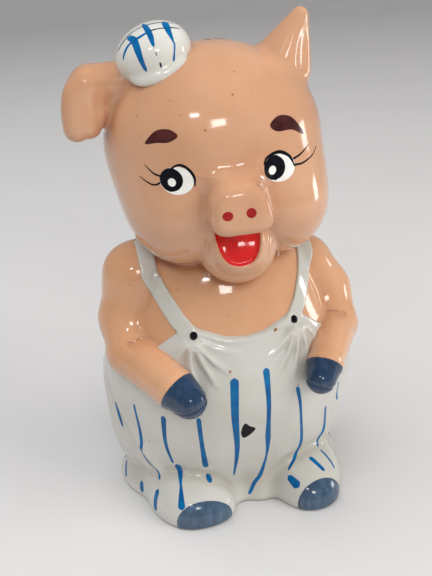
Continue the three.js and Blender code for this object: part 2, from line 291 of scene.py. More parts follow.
WRIST = {-1: (-44.5, -56, 99.5), 1: (46.8, -55.5, 100.5)}
TIP = {-1: (-38.2, -64, 94.5), 1: (42.2, -62.5, 94.3)}
HAND_RADII = {-1: (12.6, 10.2), 1: (10.5, 8.9)}


def hand(p, s):
    f = cone(p, WRIST[s], TIP[s], *HAND_RADII[s])
    cleft = p[..., 2] - TIP[s][2] + 0.3 * s * (p[..., 0] - TIP[s][0]) + 2.0
    return f + 0.8 * np.exp(-((cleft / 0.9) ** 2))


def torso(p):
    f = core(p)
    for s in (-1, 1):
        f = join(f, join(arm(p, s), hand(p, s), 2), 3)
    return f


def skin(p):
    """Everything in skin colour: head, ears, chest and arms, with the coin slot cut."""
    q = in_head(p)
    top = join(join(face(q), ear_upright(q), 4), ear_folded(q), 2.5)
    return cut(join(top, torso(p), 2.5), -slot_hole(p), 1.6)


TOP_ANGLE = [0, 12, 24, 33, 43, 53, 59, 66, 90, 140, 180]
TOP_HEIGHT = [124, 125, 128.5, 130.5, 126.5, 117, 107, 100, 97, 103, 110]


def cloth_top(p):
    return np.interp(np.abs(around(p)), TOP_ANGLE, TOP_HEIGHT)


GATHERS = [
    [(-28.5, 125), (-19, 119), (-5, 114)],
    [(-29.5, 123), (-21, 112), (-11, 103)],
    [(-31, 122), (-26, 109), (-20, 96)],
    [(-33, 122), (-34, 109), (-32, 93)],
    [(-35.5, 122), (-41, 113), (-43, 104)],
    [(31, 124), (22, 116), (8, 106)],
    [(32, 123), (25, 110), (16, 97)],
    [(34, 122), (31, 109), (28, 94)],
    [(36, 122), (38, 110), (39, 97)],
    [(38, 123), (44, 115), (48, 107)],
]
DRAPES = [(86, 62, 2.4), (76, 56, 2.0), (100, 80, 2.2), (118, 96, 1.8)]


def folds(p):
    """Relief of the gathers under the buttons and of the drapes at the sides."""
    x, z = p[..., 0], p[..., 2]
    lift = np.zeros(x.shape)
    for line in GATHERS:
        fade = np.clip((z - line[-1][1] + 2) / 18, 0, 1) * np.clip((line[0][1] + 3 - z) / 5, 0, 1)
        lift += 2.5 * np.exp(-((track(x, z, line) / 2.1) ** 2)) * fade
    hem = cloth_top(p) - z
    lift = np.minimum(lift, 3.0) + 0.8 * np.exp(-(((hem - 2.2) / 1.6) ** 2)) * (np.abs(x) < 30)
    lift *= np.clip((-p[..., 1] - 5) / 15, 0, 1)
    u = around(p)
    fade = np.clip((96 - z) / 20, 0, 1) * np.clip((z - 12) / 14, 0, 1)
    for side in (-1, 1):
        for high, low, amount in DRAPES:
            centre = side * (high + (low - high) * np.clip((95 - z) / 75, 0, 1) ** 1.3)
            lift += amount * np.exp(-(((u - centre) * 1.2 / 3.5) ** 2)) * fade
    return lift


def leg(p, s):
    return ellipsoid(p, (s * 38, -24, 4), (27, 38, 25))


def foot(p, s):
    if s < 0:
        return ellipsoid(p, (-33, -45.5, 4), (23, 17.5, 16.5))
    return ellipsoid(p, (39, -46, 4), (19, 20, 16.5))


def trousers(p):
    f = core(p) - CLOTH - folds(p)
    for s in (-1, 1):
        f = join(join(f, leg(p, s), 5), foot(p, s), 3)
    fork = np.exp(-(((p[..., 0] + 3) / 7.0) ** 2)) * np.clip((30 - p[..., 2]) / 30, 0, 1) * (p[..., 1] < -20)
    f = f + 3.8 * fork
    f = cut(f, (p[..., 2] - cloth_top(p)) * 0.8, 1.6)
    return cut(f, -p[..., 2], 2.5)


STRAP_FRONT = [(31, 126), (37.5, 134), (44, 146), (49, 157), (50, 190)]
STRAP_BACK = [(22, 100), (27, 125), (36, 146), (46, 160), (50, 190)]


def strap(p, s):
    x, z = p[..., 0] * s, p[..., 2]
    d = np.where(p[..., 1] < 0, track(x, z, STRAP_FRONT), track(x, z, STRAP_BACK)) - 5.2
    return cut(torso(p) - CLOTH, d, 1.5)


RECESS_RADIUS, RECESS_DEPTH, HOLE_RADIUS = 30, 4.5, 17


def base_hole(p):
    r, z = np.hypot(p[..., 0], p[..., 1] - BODY_AXIS_Y), p[..., 2]
    recess = np.maximum(r - RECESS_RADIUS, z - RECESS_DEPTH)
    return np.minimum(recess, np.maximum(r - HOLE_RADIUS, z - 20))


def cloth(p):
    f = trousers(p)
    for s in (-1, 1):
        f = join(f, strap(p, s), 1.2)
    return cut(f, -base_hole(p), 1.0)


# ------------------------------------------------------------------ meshing
CORNERS = np.array([(i, j, k) for i in (0, 1) for j in (0, 1) for k in (0, 1)])
EDGES = [(a, b) for a in range(8) for b in range(a + 1, 8) if np.abs(CORNERS[a] - CORNERS[b]).sum() == 1]


def slope(field, p, eps=0.2):
    g = np.empty_like(p)
    for i in range(3):
        d = np.zeros(3)
        d[i] = eps
        g[:, i] = (field(p + d) - field(p - d)) / (2 * eps)
    return g


def settle(field, p, rounds=3, reach=0.6):
    """Moves points onto the zero surface."""
    for _ in range(rounds):
        g = slope(field, p)
        step = field(p) / np.maximum((g * g).sum(1), 0.15)
        p = p - np.clip(step, -reach, reach)[:, None] * g
    return p


def surface(field, low, high, step):
    """Points, quads and unit normals of the zero surface of a field."""
    low, high = np.asarray(low, float), np.asarray(high, float)
    block = 8
    count = np.ceil((high - low) / step / block).astype(int)
    n = count * block + 1
    value = np.empty(tuple(count * block), np.float32)
    grid = np.stack(np.meshgrid(*[np.arange(c) for c in count], indexing="ij"), -1).reshape(-1, 3)
    mid = field(low + (grid * block + (block - 1) / 2) * step)
    near = np.abs(mid) < block * step * 1.25
    blocks = value.reshape(count[0], block, count[1], block, count[2], block).transpose(0, 2, 4, 1, 3, 5)
    local = np.stack(np.meshgrid(*[np.arange(block)] * 3, indexing="ij"), -1).reshape(-1, 3)
    for (i, j, k), v in zip(grid[~near], mid[~near]):
        blocks[i, j, k] = v
    chosen = grid[near]
    for start in range(0, len(chosen), 400):
        part = chosen[start:start + 400]
        p = low + (part[:, None, :] * block + local[None]) * step
        v = field(p.reshape(-1, 3)).reshape(len(part), block, block, block)
        for (i, j, k), w in zip(part, v):
            blocks[i, j, k] = w
    value = blocks.transpose(0, 3, 1, 4, 2, 5).reshape(tuple(count * block))
    inside = value < 0
    m = np.array(value.shape) - 1
    total = np.zeros(tuple(m), np.int8)
    for c in CORNERS:
        total += inside[c[0]:c[0] + m[0], c[1]:c[1] + m[1], c[2]:c[2] + m[2]]
    cells = np.argwhere((total > 0) & (total < 8))
    index = np.full(tuple(m), -1, np.int64)
    index[tuple(cells.T)] = np.arange(len(cells))
    corner = [value[tuple((cells + c).T)].astype(float) for c in CORNERS]
    place = np.zeros((len(cells), 3))
    hits = np.zeros(len(cells))
    for a, b in EDGES:
        va, vb = corner[a], corner[b]
        cross = (va < 0) != (vb < 0)
        t = np.where(cross, va / np.where(cross, va - vb, 1), 0)
        place += np.where(cross[:, None], CORNERS[a] + t[:, None] * (CORNERS[b] - CORNERS[a]), 0)
        hits += cross
    p = low + (cells + place / hits[:, None]) * step
    quads = []
    for axis in range(3):
        o1, o2 = (axis + 1) % 3, (axis + 2) % 3
        lead = [slice(1, None)] * 3
        lead[axis] = slice(0, -1)
        ahead = [slice(1, None)] * 3
        a, b = inside[tuple(lead)], inside[tuple(ahead)]
        where = np.argwhere(a != b)
        where[:, o1] += 1
        where[:, o2] += 1
        keep = (where[:, o1] < m[o1]) & (where[:, o2] < m[o2]) & (where[:, axis] < m[axis])
        where = where[keep]
        d1, d2 = np.zeros(3, int), np.zeros(3, int)
        d1[o1], d2[o2] = 1, 1
        quad = np.stack([index[tuple((where - o).T)] for o in (d1 + d2, d2, 0 * d1, d1)], 1)
        outward = inside[tuple(where.T)]
        quad[~outward] = quad[~outward][:, ::-1]
        quads.append(quad[(quad >= 0).all(1)])
    quads = np.concatenate(quads)
    p = settle(field, p, reach=step)
    g = slope(field, p)
    return p, quads, g / np.maximum(np.linalg.norm(g, axis=1, keepdims=True), 1e-9)


def body_mesh(name, p, faces, normals=None, crease_shade=None):
    """A Blender object from points in millimetres; normals are one per face corner."""
    mesh = bpy.data.meshes.new(name)
    mesh.from_pydata(((p + SHIFT) * 0.001).tolist(), [], faces if isinstance(faces, list) else faces.tolist())
    mesh.update()
    mesh.polygons.foreach_set("use_smooth", np.ones(len(mesh.polygons), bool))
    # The crease value kept on each point is painted shade: the glaze materials darken towards a shade tone by
    # it.
    if crease_shade is not None:
        mesh.attributes.new("crease_shade", "FLOAT", "POINT").data.foreach_set("value", crease_shade.astype(np.float32))
    if normals is not None:
        mesh.normals_split_custom_set(normals.tolist())
    obj = bpy.data.objects.new(name, mesh)
    bpy.context.scene.collection.objects.link(obj)
    return obj


def shell(name, p, quads, normal, thickness, field):
    """A closed hollow piece: the chosen quads, the same quads sunk into the clay, and a rim between them."""
    used, flat = np.unique(quads, return_inverse=True)
    quads = flat.reshape(quads.shape)
    p, normal, thickness = p[used], normal[used], thickness[used]
    n = len(p)
    for _ in range(4):
        inner = p - normal * thickness[:, None]
        thickness = np.where(field(inner) > -0.6 * thickness, thickness * 0.55, thickness)
    inner = p - normal * thickness[:, None]
    sides = np.stack([quads, np.roll(quads, -1, 1)], -1).reshape(-1, 2)
    key = np.sort(sides, 1)
    code = key[:, 0] * n + key[:, 1]
    _, first, times = np.unique(code, return_index=True, return_counts=True)
    edge = sides[first[times == 1]]
    rim = np.stack([edge[:, 1], edge[:, 0], edge[:, 0] + n, edge[:, 1] + n], 1)
    faces = np.concatenate([quads, quads[:, ::-1] + n, rim])
    points = np.concatenate([p, inner])
    a, b, c = points[rim[:, 0]], points[rim[:, 1]], points[rim[:, 2]]
    wall = np.cross(b - a, c - b)
    wall /= np.maximum(np.linalg.norm(wall, axis=1, keepdims=True), 1e-9)
    corner = np.concatenate([
        normal[quads.reshape(-1)], -normal[quads[:, ::-1].reshape(-1)], np.repeat(wall, 4, 0)])
    # How closed in each point is by clay 5 mm out along its normal. It becomes the crease value: painted
    # shade in creases and hollows, with some glaze pooling. The sunk inner copy counts as fully shaded.
    hollow = np.clip(1.15 - field(p + normal * 5.0) / 5.0, 0, 1)
    return body_mesh(name, points, faces, corner, np.concatenate([hollow, np.ones(n)]))


def solid(name, field, low, high, step):
    """A closed piece bounded by the zero surface of a field."""
    p, quads, normal = surface(field, low, high, step)
    return body_mesh(name, p, quads, normal[quads.reshape(-1)])


# ------------------------------------------------------------------ materials
def material(name, colour, second, rough=0.13, scale=22.0, specks=0.0, streak=None, coat=0.6, bump=0.22,
             shade_and_pooling_tone=None, shade_and_pooling_share=0.5):
    """Glazed pottery: two close tones drifting over the form, fine unevenness, a clear coat and, where a
    shade tone is given, painted shade in creases (partly glaze pooling).
    """
    mat = bpy.data.materials.new(name)
    mat.use_nodes = True
    nodes, links = mat.node_tree.nodes, mat.node_tree.links
    bsdf = nodes["Principled BSDF"]
    place = nodes.new("ShaderNodeTexCoord")

    def noise(size, detail=3.0, rough_=0.5, stretch=None):
        node = nodes.new("ShaderNodeTexNoise")
        node.inputs["Scale"].default_value = size
        node.inputs["Detail"].default_value = detail
        node.inputs["Roughness"].default_value = rough_
        if stretch:
            mapping = nodes.new("ShaderNodeMapping")
            mapping.inputs["Scale"].default_value = stretch
            links.new(place.outputs["Object"], mapping.inputs["Vector"])
            links.new(mapping.outputs["Vector"], node.inputs["Vector"])
        else:
            links.new(place.outputs["Object"], node.inputs["Vector"])
        return node

    def ramp(source, low, high, a=0.0, b=1.0):
        node = nodes.new("ShaderNodeMapRange")
        node.inputs["From Min"].default_value = low
        node.inputs["From Max"].default_value = high
        node.inputs["To Min"].default_value = a
        node.inputs["To Max"].default_value = b
        links.new(source, node.inputs["Value"])
        return node.outputs["Result"]

    def mix(factor, a, b):
        node = nodes.new("ShaderNodeMix")
        node.data_type = "RGBA"
        for socket, value in ((node.inputs["Factor"], factor), (node.inputs[6], a), (node.inputs[7], b)):
            if isinstance(value, bpy.types.NodeSocket):
                links.new(value, socket)
            else:
                socket.default_value = value
        return node.outputs[2]

    drift = noise(scale, 2.0)
    base = mix(ramp(drift.outputs["Fac"], 0.35, 0.65), (*colour, 1), (*second, 1))
    if streak:
        lines = noise(streak, 4.0, 0.6, (1.0, 1.0, 0.12))
        pale = (*[min(1, c * 2.2 + 0.02) for c in second], 1)
        base = mix(ramp(lines.outputs["Fac"], 0.42, 0.68, 0.0, 0.55), base, pale)
    # Painted shade: the colour darkens towards a shade tone where the crease value is high. This stands for
    # shade in creases and hollows together with some glaze pooling.
    if shade_and_pooling_tone:
        crease_shade_input = nodes.new("ShaderNodeAttribute")
        crease_shade_input.attribute_name = "crease_shade"
        base = mix(ramp(crease_shade_input.outputs["Fac"], 0.2, 0.85, 0.0, shade_and_pooling_share), base, (*shade_and_pooling_tone, 1))
    if specks:
        dots = noise(620.0, 1.0)
        patch = noise(90.0, 1.0)
        gate = nodes.new("ShaderNodeMath")
        gate.operation = "MULTIPLY"
        links.new(ramp(dots.outputs["Fac"], 0.72, 0.78), gate.inputs[0])
        links.new(ramp(patch.outputs["Fac"], 0.5, 0.62, 0.0, specks), gate.inputs[1])
        base = mix(gate.outputs[0], base, (0.20, 0.10, 0.045, 1))
    links.new(base, bsdf.inputs["Base Color"])
    wave = noise(140.0, 3.0)
    links.new(ramp(wave.outputs["Fac"], 0.3, 0.7, rough * 0.8, rough * 1.3), bsdf.inputs["Roughness"])
    swell = noise(55.0, 2.0)
    relief = nodes.new("ShaderNodeBump")
    relief.inputs["Strength"].default_value = bump
    relief.inputs["Distance"].default_value = 0.0012
    links.new(swell.outputs["Fac"], relief.inputs["Height"])
    links.new(relief.outputs["Normal"], bsdf.inputs["Normal"])
    links.new(relief.outputs["Normal"], bsdf.inputs["Coat Normal"])
    bsdf.inputs["Coat Weight"].default_value = coat
    bsdf.inputs["Coat Roughness"].default_value = 0.035
    bsdf.inputs["Specular IOR Level"].default_value = min(0.5, 0.08 + 1.4 * coat)
    return mat


def srgb(r, g, b):
    return tuple(((c / 255 + 0.055) / 1.055) ** 2.4 if c > 10 else c / 255 / 12.92 for c in (r, g, b))


# The last tone given to each glaze, and its share, are painted shade in creases and hollows, partly glaze
# pooling.
FACE_SKIN = material("face_skin", srgb(208, 160, 126), srgb(199, 149, 114), specks=0.8,
                     shade_and_pooling_tone=srgb(164, 104, 72), shade_and_pooling_share=0.4)
ARM_SKIN = material("arm_skin", srgb(214, 164, 127), srgb(205, 152, 113), specks=0.6,
                    shade_and_pooling_tone=srgb(158, 92, 54), shade_and_pooling_share=0.55)
CREAM = material("cream", srgb(204, 203, 197), srgb(194, 192, 183), specks=0.8,
                 shade_and_pooling_tone=srgb(140, 128, 104), shade_and_pooling_share=0.65)
CAP_WHITE = material("cap_white", srgb(218, 218, 212), srgb(208, 207, 199), specks=0.4,
                     shade_and_pooling_tone=srgb(150, 140, 118))
HAND_HOOF = material("hand_hoof", srgb(32, 58, 86), srgb(24, 44, 68), streak=260.0, coat=0.4)
FOOT_HOOF = material("foot_hoof", srgb(64, 86, 108), srgb(52, 72, 94), streak=260.0, coat=0.4)
BLUE = material("blue", srgb(2, 84, 142), srgb(4, 106, 162), scale=120.0, coat=0.1)
DARK_BLUE = material("dark_blue", srgb(8, 34, 52), srgb(4, 48, 76), scale=160.0, coat=0.1)
RED = material("red", srgb(222, 26, 26), srgb(204, 16, 18), scale=60.0)
NOSTRIL_RED = material("nostril_red", srgb(160, 26, 26), srgb(140, 16, 18), scale=200.0, coat=0.12)
BROWN = material("brown", srgb(78, 36, 34), srgb(56, 24, 26), scale=160.0, coat=0.12)
BLACK = material("black", srgb(11, 11, 16), srgb(20, 20, 28), scale=160.0, coat=0.05)
WHITE = material("white", srgb(240, 240, 236), srgb(228, 228, 222), scale=120.0)
CLAY = material("bare_clay", srgb(168, 128, 84), srgb(120, 84, 52), rough=0.5, scale=400.0, coat=0.0)
RUBBER = material("rubber", srgb(140, 66, 44), srgb(122, 54, 38), rough=0.6, coat=0.0)


def finish_piece(obj, mat, body="bank", nodes=()):
    obj.data.materials.append(mat)
    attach(obj, body)
    if nodes:
        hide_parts(*nodes)
    return obj


# ------------------------------------------------------------------ skin-coloured shells
def split(p, quads, rule):
    """A label for every quad, from the field that is nearest to its middle."""
    middle = p[quads].mean(1)
    return rule(middle), middle


def skin_label(m):
    q = in_head(m)
    fields = [face(q), ear_upright(q), ear_folded(q), core(m)]
    fields += [np.minimum(arm(m, s), hand(m, s)) for s in (-1, 1)]
    return np.argmin(np.stack(fields, 1), 1)


p, quads, normal = surface(skin, (-94, -82, 80), (86, 66, 306), STEP)
label, middle = split(p, quads, skin_label)
under_cloth = (label == 3) & (middle[:, 2] < cloth_top(middle) - 9)
in_slot = (slot_hole(middle) < 0.9) & (skull(in_head(middle)) < -5.5)
seen = ~under_cloth & ~in_slot
near_slot = np.clip(slot_hole(p) / 5.0, 0, 1)
SKIN_PIECES = [
    ("head_shell", 0, WALL, FACE_SKIN, ["head_shell"]),
    ("ear_upright", 1, 2.2, FACE_SKIN, ["ear_upright"]),
    ("ear_folded", 2, 2.2, FACE_SKIN, ["ear_folded"]),
    ("chest_shell", 3, 3.5, ARM_SKIN, ["chest_shell"]),
    ("arm_right", 4, 3.5, ARM_SKIN, ["arm_right"]),
    ("arm_left", 5, 3.5, ARM_SKIN, ["arm_left"]),
]
for name, which, wall, mat, nodes in SKIN_PIECES:
    thickness = 1.0 + (wall - 1.0) * near_slot
    obj = shell(name + "_skin", p, quads[seen & (label == which)], normal, thickness, skin)
    finish_piece(obj, mat, nodes=nodes)


# ------------------------------------------------------------------ cloth shells
def cloth_label(m):
    legs = [np.minimum(leg(m, s), foot(m, s)) for s in (-1, 1)]
    straps = [strap(m, s) - 0.3 for s in (-1, 1)]
    low = core(m) - CLOTH - folds(m)
    choice = np.argmin(np.stack([low, *legs, *straps], 1), 1)
    bib = (choice == 0) & (m[:, 2] > 99) & (np.abs(around(m)) < 55)
    return np.where(bib, 5, choice)


p, quads, normal = surface(cloth, (-90, -76, -4), (88, 70, 192), STEP)
label, middle = split(p, quads, cloth_label)
buried = (torso(middle) < -0.7) & (middle[:, 2] > 60)
buried |= (face(in_head(middle)) < -2.0)
radius = np.hypot(middle[:, 0], middle[:, 1] - BODY_AXIS_Y)
buried |= (radius < 20) & (middle[:, 2] > 8.5) & (middle[:, 2] < 30)
near_top = np.clip((cloth_top(p) - 10 - p[:, 2]) / 4, 0, 1)
near_hole = np.clip((base_hole(p)) / 5.0, 0, 1)
CLOTH_PIECES = [
    ("overalls", 0, ["overalls_shell"]), ("trouser_leg_right", 1, ["trouser_leg_right"]),
    ("trouser_leg_left", 2, ["trouser_leg_left"]), ("strap_right", 3, ["strap_right"]),
    ("strap_left", 4, ["strap_left"]), ("bib", 5, ["bib"]),
]
for name, which, nodes in CLOTH_PIECES:
    thickness = np.minimum(1.9 + 2.4 * near_top, 1.0 + 3.5 * near_hole)
    thickness = np.where(p[:, 2] < 6, np.minimum(thickness, 2.0), thickness)
    obj = shell(name + "_glazed", p, quads[~buried & (label == which)], normal, thickness, cloth)
    finish_piece(obj, CREAM, nodes=nodes)


# ------------------------------------------------------------------ cap, hooves, mouth
def cap_whole(m):
    q = in_head(m)
    return join(cap_crown(q), cap_peak(q), 2)


p, quads, normal = surface(cap_whole, (-68, -40, 250), (2, 30, 308), FINE * 1.5)
q = in_head(p[quads].mean(1))
crown = cap_crown(q) < cap_peak(q) + 0.5
out = face(q) > -1.5
for name, chosen in (("cap_crown", crown), ("cap_peak", ~crown)):
    finish_piece(shell(name + "_glazed", p, quads[chosen & out], normal, np.full(len(p), 2.0), cap_whole),
                 CAP_WHITE, nodes=[name])

COAT = 0.3
FOOT_RIM = 0.6      # the foot glaze stops this far above the ground


def coat(field, region):
    """A layer of coloured glaze over part of a surface."""
    return lambda m: cut(field(m) - COAT, region(m), 0.5)


def hand_region(s):
    start, end = np.array(WRIST[s]), np.array(TIP[s])
    forward = (end - start) / np.linalg.norm(end - start)

    def region(m):
        along = (m - start) @ forward
        return cut(hand(m, s) - 2.0, 1.0 - along, 1.0)
    return region


def foot_region(s):
    slant, reach = ((0.03, -1.0), 56.2) if s < 0 else ((0.24, -0.97), 65.6)

    def region(m):
        toe = cut(reach - m[..., 0] * slant[0] - m[..., 1] * slant[1], foot(m, s) - 2, 1.0)
        return np.maximum(toe, FOOT_RIM - m[..., 2])
    return region


for s, side in ((-1, "right"), (1, "left")):
    centre = (np.array(WRIST[s]) + np.array(TIP[s])) / 2
    finish_piece(solid(f"hand_{side}_hoof", coat(torso, hand_region(s)), centre - 18, centre + 18, FINE),
                 HAND_HOOF, nodes=[f"hand_{side}"])
    centre = np.array([-33, -50, 8]) if s < 0 else np.array([39, -50, 8])
    finish_piece(solid(f"foot_{side}_hoof", coat(trousers, foot_region(s)), centre - 26, centre + 26, FINE),
                 FOOT_HOOF, nodes=[f"foot_{side}"])


def head_skin(m):
    return face(in_head(m))


def mouth_region(m):
    q = in_head(m)
    return cut(mouth_edge(q) + 0.2, q[..., 1] + 30, 0.5)


mouth = solid("mouth_red", coat(head_skin, mouth_region), (-18, -80, 166), (18, -40, 200), FINE * 0.8)
finish_piece(mouth, RED)


# ------------------------------------------------------------------ brushwork
def smooth_path(points, per=8):
    """A curve through the points."""
    pts = np.asarray(points, float)
    ends = np.vstack([2 * pts[0] - pts[1], pts, 2 * pts[-1] - pts[-2]])
    out = []
    for i in range(1, len(ends) - 2):
        a, b, c, d = ends[i - 1:i + 3]
        for t in np.linspace(0, 1, per, endpoint=False):
            out.append(spline(a, b, c, d, t))
    out.append(ends[-2])
    return np.array(out)


def layered(field, flat, lift):
    """Top, bottom and edge of a thin layer lying on a surface. flat is rows x columns of points near it."""
    rows, cols = flat.shape[:2]
    q = settle(field, flat.reshape(-1, 3), rounds=5, reach=3.0)
    n = slope(field, q)
    n /= np.maximum(np.linalg.norm(n, axis=1, keepdims=True), 1e-9)
    top = q + n * lift.reshape(-1, 1)
    low = q - n * 0.35
    return np.concatenate([top, low]), n, rows, cols


def ribbon(field, points, widths, height=0.16, across=6, spacing=1.3):
    """A brush stroke that follows points, as wide as widths say (millimetres)."""
    line = smooth_path(points)
    line = settle(field, line, rounds=5, reach=3.0)
    length = np.concatenate([[0], np.cumsum(np.linalg.norm(np.diff(line, axis=0), axis=1))])
    count = max(6, int(length[-1] / spacing))
    at = np.linspace(0, length[-1], count)
    line = np.stack([np.interp(at, length, line[:, i]) for i in range(3)], 1)
    share = at / length[-1]
    width = np.interp(share, np.linspace(0, 1, len(widths)), widths)
    round_end = np.minimum(at, length[-1] - at) / np.maximum(width / 2, 0.2)
    width = width * np.sqrt(np.clip(1 - (1 - np.clip(round_end, 0, 1)) ** 2, 0.02, 1))
    n = slope(field, line)
    n /= np.linalg.norm(n, axis=1, keepdims=True)
    along = np.gradient(line, axis=0)
    side = np.cross(n, along)
    side /= np.linalg.norm(side, axis=1, keepdims=True)
    s = np.linspace(-1, 1, across)
    flat = line[:, None] + side[:, None] * (s[None, :, None] * width[:, None, None] / 2)
    lift = height * np.sqrt(np.clip(1.0 - s ** 2, 0.05, 1))[None] * np.clip(width / 1.2, 0.4, 1)[:, None]
    points, up, rows, cols = layered(field, flat, lift)
    m = rows * cols
    grid = np.arange(m).reshape(rows, cols)
    quad = np.stack([grid[:-1, :-1], grid[1:, :-1], grid[1:, 1:], grid[:-1, 1:]], -1).reshape(-1, 4)
    ring = np.concatenate([grid[0, :], grid[1:, -1], grid[-1, -2::-1], grid[-2:0:-1, 0]])
    after = np.roll(ring, -1)
    wall = np.stack([ring, after, after + m, ring + m], 1)
    return points, np.concatenate([quad[:, ::-1], quad + m, wall[:, ::-1]]), up


def blob(field, centre, edge, height=0.28, rings=5):
    """A dab of colour: edge is a closed line of points round centre."""
    edge = np.asarray(edge, float)
    n = len(edge)
    share = np.linspace(0, 1, rings + 1)[1:]
    flat = np.asarray(centre, float) + share[:, None, None] * (edge - centre)[None]
    lift = height * np.sqrt(np.clip(1 - share ** 4, 0.05, 1))[:, None] * np.ones(n)
    points, up, rows, cols = layered(field, flat, lift)
    m = rows * n
    grid = np.arange(m).reshape(rows, n)
    nxt = np.roll(grid, -1, 1)
    quad = np.stack([grid[:-1], grid[1:], nxt[1:], nxt[:-1]], -1).reshape(-1, 4)
    wall = np.stack([grid[-1], nxt[-1], nxt[-1] + m, grid[-1] + m], 1)
    faces = [list(f[::-1]) for f in np.concatenate([quad, wall[:, [1, 0, 3, 2]][:, ::-1]])]
    faces += [list(f) for f in quad + m]
    faces.append([int(i) for i in grid[0][::-1]])
    faces.append([int(i) for i in grid[0] + m])
    return points, faces, up


def gathered(name, strokes, mat):
    """One piece from several strokes of the same colour, its upper side lit like the surface under it."""
    points, faces, ups, at = [], [], [], 0
    for pts, quads_, up in strokes:
        points.append(pts)
        faces += [[int(i) + at for i in f] for f in quads_]
        ups.append(np.concatenate([up, np.zeros_like(up)]))
        at += len(pts)
    obj = body_mesh(name, np.concatenate(points), faces)
    mesh, ups = obj.data, np.concatenate(ups)
    bm = bmesh.new()
    bm.from_mesh(mesh)
    bmesh.ops.recalc_face_normals(bm, faces=bm.faces)
    bm.to_mesh(mesh)
    bm.free()
    corner = []
    for poly in mesh.polygons:
        poly.use_smooth = True
        own = [ups[i] for i in poly.vertices]
        level = all(u @ u > 0.5 for u in own) and np.dot(own[0], poly.normal) > 0
        corner += [tuple(u) for u in own] if level else [tuple(poly.normal)] * len(own)
    mesh.normals_split_custom_set(corner)
    return finish_piece(obj, mat)


def on_face(points):
    """Head-frame (x, z) marks brought onto the face."""
    q = np.array([(x, -90.0, z) for x, z in points])
    for _ in range(90):
        q[:, 1] += 0.8 * face(q)
    return from_head(q)


def oval(centre, rx, rz, tilt=0.0, count=28):
    a = np.linspace(0, 2 * math.pi, count, endpoint=False)
    c, s = math.cos(math.radians(tilt)), math.sin(math.radians(tilt))
    x, z = rx * np.cos(a), rz * np.sin(a)
    return [(centre[0] + c * u - s * v, centre[1] + s * u + c * v) for u, v in zip(x, z)]


def face_blob(centre, edge, height=0.28):
    return blob(head_skin, on_face([centre])[0], on_face(edge), height)


# Places on the face are head-frame x and z, in millimetres.
EYES = {
    "right": dict(white=((-30.3, 4.8), 9.0, 7.4), pupil=((-32.8, 5.2), 6.4), dot=((-33.0, 4.0), 2.5)),
    "left": dict(white=((26.2, 4.9), 9.3, 7.5), pupil=((23.5, 5.3), 6.7), dot=((21.6, 4.4), 2.7)),
}
for side, e in EYES.items():
    gathered(f"eye_white_{side}", [face_blob(e["white"][0], oval(*e["white"]), 0.22)], WHITE)
    centre, radius = e["pupil"]
    gathered(f"pupil_{side}", [face_blob(centre, oval(centre, radius, radius), 0.42)], BLACK)
    centre, radius = e["dot"]
    dot = oval(centre, radius, radius * 1.05, count=18)
    gathered(f"eye_dot_{side}", [face_blob(centre, dot, 0.62)], WHITE)

LINES = {
    "eye_lines_right": [
        ([(-34.5, 10.0), (-31, 12.2), (-28, 13), (-25, 11.7), (-22.5, 9), (-21, 5.5), (-21.4, 1)],
         (0.6, 1.1, 1.4, 1.5, 1.6, 1.3, 0.6)),
        ([(-38.3, 7), (-42, 8.5), (-44, 10.5), (-46.2, 13)], (1.1, 0.9, 0.7, 0.35)),
        ([(-38.8, 4), (-41, 2.7), (-43.5, 2.5), (-46.5, 4), (-49.5, 6.3)], (1.1, 0.9, 0.8, 0.6, 0.35)),
    ],
    "eye_lines_left": [
        ([(17, 8), (19, 11.3), (24, 13), (28.3, 12.6), (33, 9), (35.4, 3.2)], (0.7, 1.3, 1.9, 2.0, 1.8, 0.7)),
        ([(34.5, 7.5), (39, 8.5), (42.5, 10), (46.5, 12)], (1.2, 1.0, 0.8, 0.35)),
        ([(34.8, 4.5), (39.5, 4), (44, 4.6), (48.5, 6), (52, 9)], (1.2, 1.0, 0.8, 0.6, 0.35)),
    ],
}
for name, strokes in LINES.items():
    lines = [ribbon(head_skin, on_face(pts), w, height=0.45, across=5, spacing=0.7) for pts, w in strokes]
    gathered(name, lines, BLACK)

BROWS = {
    "right": ((-36, 28),
              [(-44.5, 24), (-38.5, 30.5), (-31.5, 31.5), (-27.2, 28.2), (-32, 25), (-38.5, 24.6)]),
    "left": ((33, 27.5),
             [(23, 28), (28.5, 31.5), (36, 29.5), (41.5, 23), (43.2, 18.2), (36, 22.6), (26.5, 24)]),
}
for side, (centre, edge) in BROWS.items():
    gathered(f"brow_{side}", [face_blob(centre, closed_curve(edge))], BROWN)
NOSTRILS = [((-8.3, -9.6), 2.9, 2.5), ((4.3, -9.4), 2.7, 2.7)]
dabs = [face_blob(centre, oval(centre, wide, tall)) for centre, wide, tall in NOSTRILS]
gathered("nostrils", dabs, NOSTRIL_RED)


